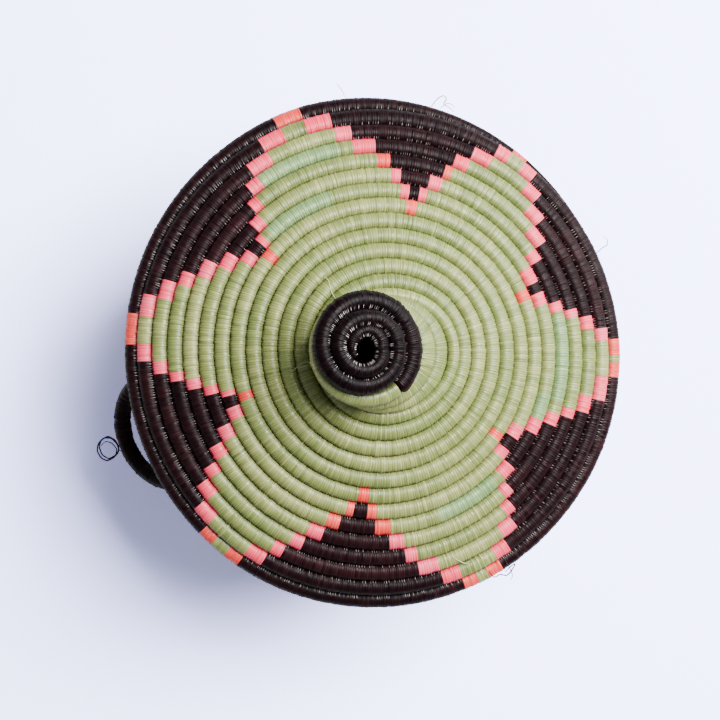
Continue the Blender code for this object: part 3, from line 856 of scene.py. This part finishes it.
course_middles = base_radius + PITCH * (np.arange(round((body_end - base_radius) / PITCH)) + 0.5)
foot_course = course_middles[np.argmin(np.abs(body.on_line(course_middles)[1] - HANDLE_LEVEL))]
foot_slope = np.interp(foot_course, body.known, body.slopes)
wall_radius = float(body.on_line(foot_course)[0]) + COIL / 2 * math.sin(foot_slope)
foot_radius = wall_radius + CLEARANCE + HANDLE_THICKNESS / 2
feet = []
handle_paths = {}
for name, side in (("right_handle", 1), ("left_handle", -1)):
    foot_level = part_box(name)[1][2] - HANDLE_THICKNESS / 2
    path, foot_turn = handle_path(side, foot_radius, foot_level)
    piece = rope(f"{name}_rope", path, HANDLE_THICKNESS, HANDLE_STITCH, HANDLE_SIDES, HANDLE_ROWS, DARK)
    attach(piece, "basket_body")
    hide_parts(name)
    feet.append((name, side, foot_turn, foot_level))
    handle_paths[name] = path


def lashing(name, side, end, foot_turn, foot_level):
    """Strands of raffia, side by side, that bind one foot of a handle to the wall."""
    reach = HANDLE_THICKNESS / 2 + LASHING_THICKNESS / 2
    over = np.linspace(-LASHING_ARC, LASHING_ARC, 22)
    tuck = -reach * LASHING_TUCK_SHARE
    out = np.concatenate([[tuck], reach * np.cos(over), [tuck]])
    rise = np.concatenate([[-PITCH / 2], reach * np.sin(over), [PITCH / 2]])
    path = []
    for i in range(LASHING_PASSES * 2):
        start = HANDLE_FOOT / 2 + (i / 2 - (LASHING_PASSES - 0.5) / 2) * LASHING_STEP
        along = start + LASHING_BOW * np.sin(np.linspace(0, math.pi, len(out)))
        turn = end * (foot_turn + along / foot_radius)
        order = slice(None, None, -1 if i % 2 else 1)
        radius = foot_radius + out[order]
        path.append(np.column_stack([
            side * radius * np.cos(turn), side * radius * np.sin(turn), foot_level + rise[order],
        ]))
    piece = fibre(
        f"{name}_strands", np.concatenate(path), LASHING_THICKNESS, fibre_materials[STRAW], "basket_body",
        sides=8, ends=0.9,
    )
    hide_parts(name)


for name, side, foot_turn, foot_level in feet:
    lashing(f"{name}_front_lashing", side, -side, foot_turn, foot_level)
    lashing(f"{name}_rear_lashing", side, side, foot_turn, foot_level)

# The floor and the camera

FLOOR_RADIUS = 9.0
FLOOR_CORNERS = 96
FLOOR_SEEN = (1.85, 1.95, 3.2)
FLOOR_THROWN = (0.75, 0.76, 0.82)


def seen_and_thrown(tree, socket, seen, thrown):
    """A colour for what the picture shows, and another for the light that falls on the basket."""
    rays = tree.nodes.new("ShaderNodeLightPath")
    colour = tree.nodes.new("ShaderNodeMix")
    colour.data_type = "RGBA"
    colour.inputs["A"].default_value = (*thrown, 1)
    colour.inputs["B"].default_value = (*seen, 1)
    tree.links.new(rays.outputs["Is Camera Ray"], colour.inputs["Factor"])
    tree.links.new(colour.outputs["Result"], socket)


def paper(seen, thrown):
    """The floor: as white as the photograph's, while the basket gets the light of plain paper."""
    material = bpy.data.materials.new("paper")
    material.use_nodes = True
    shader = material.node_tree.nodes["Principled BSDF"]
    shader.inputs["Roughness"].default_value = 1.0
    seen_and_thrown(material.node_tree, shader.inputs["Base Color"], seen, thrown)
    return material


floor_turns = np.linspace(0, 2 * math.pi, FLOOR_CORNERS, endpoint=False)
floor_mesh = bpy.data.meshes.new("floor")
floor_mesh.from_pydata(
    [(FLOOR_RADIUS * math.cos(turn), FLOOR_RADIUS * math.sin(turn), 0) for turn in floor_turns],
    [], [range(FLOOR_CORNERS)],
)
floor = bpy.data.objects.new("floor", floor_mesh)
floor_mesh.materials.append(paper(FLOOR_SEEN, FLOOR_THROWN))
bpy.context.scene.collection.objects.link(floor)

right = np.array([math.cos(PHOTO_TURN), -math.sin(PHOTO_TURN), 0.0])
up = np.array([math.sin(PHOTO_TURN), math.cos(PHOTO_TURN), 0.0])
back = np.array([0, 0, 1.0]) - LEAN_RIGHT * right - LEAN_UP * up
back = back / np.linalg.norm(back)
view_up = up - up.dot(back) * back
view_up = view_up / np.linalg.norm(view_up)
view_right = np.cross(view_up, back)
photo_middle = PHOTO_SIZE / 2
eye = (
    np.array([0.0, 0.0, lid.seat]) + CAMERA_DISTANCE * back
    + (photo_middle - RIM_PIXEL[0]) * METRES_PER_PIXEL * view_right
    + (RIM_PIXEL[1] - photo_middle) * METRES_PER_PIXEL * view_up
)


def put(thing, x_axis, y_axis, z_axis, spot):
    """Puts a camera or a light at a spot, turned so that it looks against its Z axis."""
    axes = np.eye(4)
    axes[:3, 0], axes[:3, 1], axes[:3, 2], axes[:3, 3] = x_axis, y_axis, z_axis, spot
    thing.matrix_world = Matrix(axes.tolist())
    bpy.context.scene.collection.objects.link(thing)


camera_data = bpy.data.cameras.new("camera")
camera_data.sensor_width = SENSOR_MM
camera_data.lens = SENSOR_MM * CAMERA_DISTANCE / (PHOTO_SIZE * METRES_PER_PIXEL)
camera = bpy.data.objects.new("camera", camera_data)
put(camera, view_right, view_up, back, eye)
bpy.context.scene.camera = camera

# Loose ends of raffia that the photograph shows, by its pixels

CURL = (
    (123, 451), (119, 451), (117, 444), (111, 438), (103, 438), (98, 444), (97, 451), (101, 458), (107, 461),
    (113, 458), (118, 453), (119, 447), (115, 440), (108, 436), (101, 440), (99, 447), (102, 455), (109, 459),
    (116, 455), (117, 449), (112, 443), (105, 441), (101, 446),
)
CURL_THICKNESS = 0.0011
CURL_RISE = 0.0005       # from one of its points to the next
# Each loose end's raffia, its thickness, how far it stands off the lid, and its path
LOOSE = (
    (STRAW, 0.0009, 0.0010, (
        (430, 108), (438, 98), (444, 95), (447, 99), (443, 104), (450, 108), (454, 112),
    )),
    (STRAW, 0.0007, 0.0010, ((440, 108), (447, 103), (452, 104), (455, 108))),
    (STRAW, 0.0006, 0.0015, ((345, 98), (343, 92), (339, 86), (336, 83))),
    (DARK, 0.0006, 0.0015, ((590, 257), (598, 252), (603, 247), (607, 246), (608, 240), (603, 236))),
    (DARK, 0.0008, 0.0008, (
        (489, 571), (494, 578), (500, 574), (507, 576), (512, 570), (516, 563), (511, 566), (505, 572),
    )),
    (DARK, 0.0006, 0.0008, ((505, 560), (510, 568), (513, 577), (510, 580))),
    (GREEN, 0.0006, 0.0006, ((292, 372), (298, 366), (303, 362), (309, 362), (312, 366))),
    (GREEN, 0.0006, 0.0006, ((452, 557), (459, 561), (466, 564), (470, 561))),
    (GREEN, 0.0006, 0.0006, ((336, 300), (331, 291), (329, 281), (324, 276))),
)


def seen_at(across, down, height):
    """The place at a height that the photograph shows at a pixel."""
    ray = (
        (across - photo_middle) * METRES_PER_PIXEL * view_right
        + (photo_middle - down) * METRES_PER_PIXEL * view_up
        - CAMERA_DISTANCE * back
    )
    return eye + ray * (height - eye[2]) / ray[2]


def on_lid(points, lift):
    """Places on the lid that the photograph shows at pixels. Past its edge a strand runs on level."""
    height = lid.seat
    places = []
    for across, down in points:
        ray = seen_at(across, down, 0.0) - eye
        found = [piece.ray_cast(eye.tolist(), ray.tolist()) for piece in lid_pieces]
        heights = [spot[2] for hit, spot, _normal, _face in found if hit]
        if heights:
            height = max(heights) + lift
        places.append(seen_at(across, down, height))
    return np.array(places)


def past_handle():
    """The curl beside the left handle. It starts on the handle's own middle line."""
    spots = handle_paths["left_handle"]
    start = min(spots, key=lambda spot: np.linalg.norm(seen_at(*CURL[0], spot[2]) - spot))
    rest = [seen_at(*pixel, start[2] + CURL_RISE * i) for i, pixel in enumerate(CURL[1:])]
    return np.array([start, *rest])


bpy.context.view_layer.update()
fibre("handle_curl", past_handle(), CURL_THICKNESS, fibre_materials[DARK], "basket_body")
for number, (colour, thickness, lift, points) in enumerate(LOOSE):
    fibre(f"loose_end_{number + 1}", on_lid(points, lift), thickness, fibre_materials[colour], "lid")

# The light

LIGHT_TARGET = (0, 0, 0.12)
# Each lamp's direction from the basket, as the photograph's right, up and towards us, its distance, its size
# in metres and its power in watts
LAMPS = (
    ("key", (0.40, 0.28, 1.0), 2.1, 1.2, 126),
    ("side", (1.63, 0.80, 1.0), 2.3, 1.3, 66),
)
BACKDROP_SEEN = (0.48, 0.52, 0.84)
BACKDROP_THROWN = (0.255, 0.255, 0.29)


def area_light(name, direction, distance, size, power):
    """A square light that looks at the basket."""
    data = bpy.data.lights.new(name, "AREA")
    data.size = size
    data.energy = power
    towards = direction[0] * right + direction[1] * up + direction[2] * np.array([0, 0, 1.0])
    towards = towards / np.linalg.norm(towards)
    side = np.cross([0, 0, 1.0], towards)
    side = side / np.linalg.norm(side)
    spot = np.array(LIGHT_TARGET) + distance * towards
    put(bpy.data.objects.new(name, data), side, np.cross(towards, side), towards, spot)


for lamp in LAMPS:
    area_light(*lamp)
world = bpy.data.worlds.new("studio")
world.use_nodes = True
background = world.node_tree.nodes["Background"]
background.inputs["Strength"].default_value = 1.0
seen_and_thrown(world.node_tree, background.inputs["Color"], BACKDROP_SEEN, BACKDROP_THROWN)
bpy.context.scene.world = world
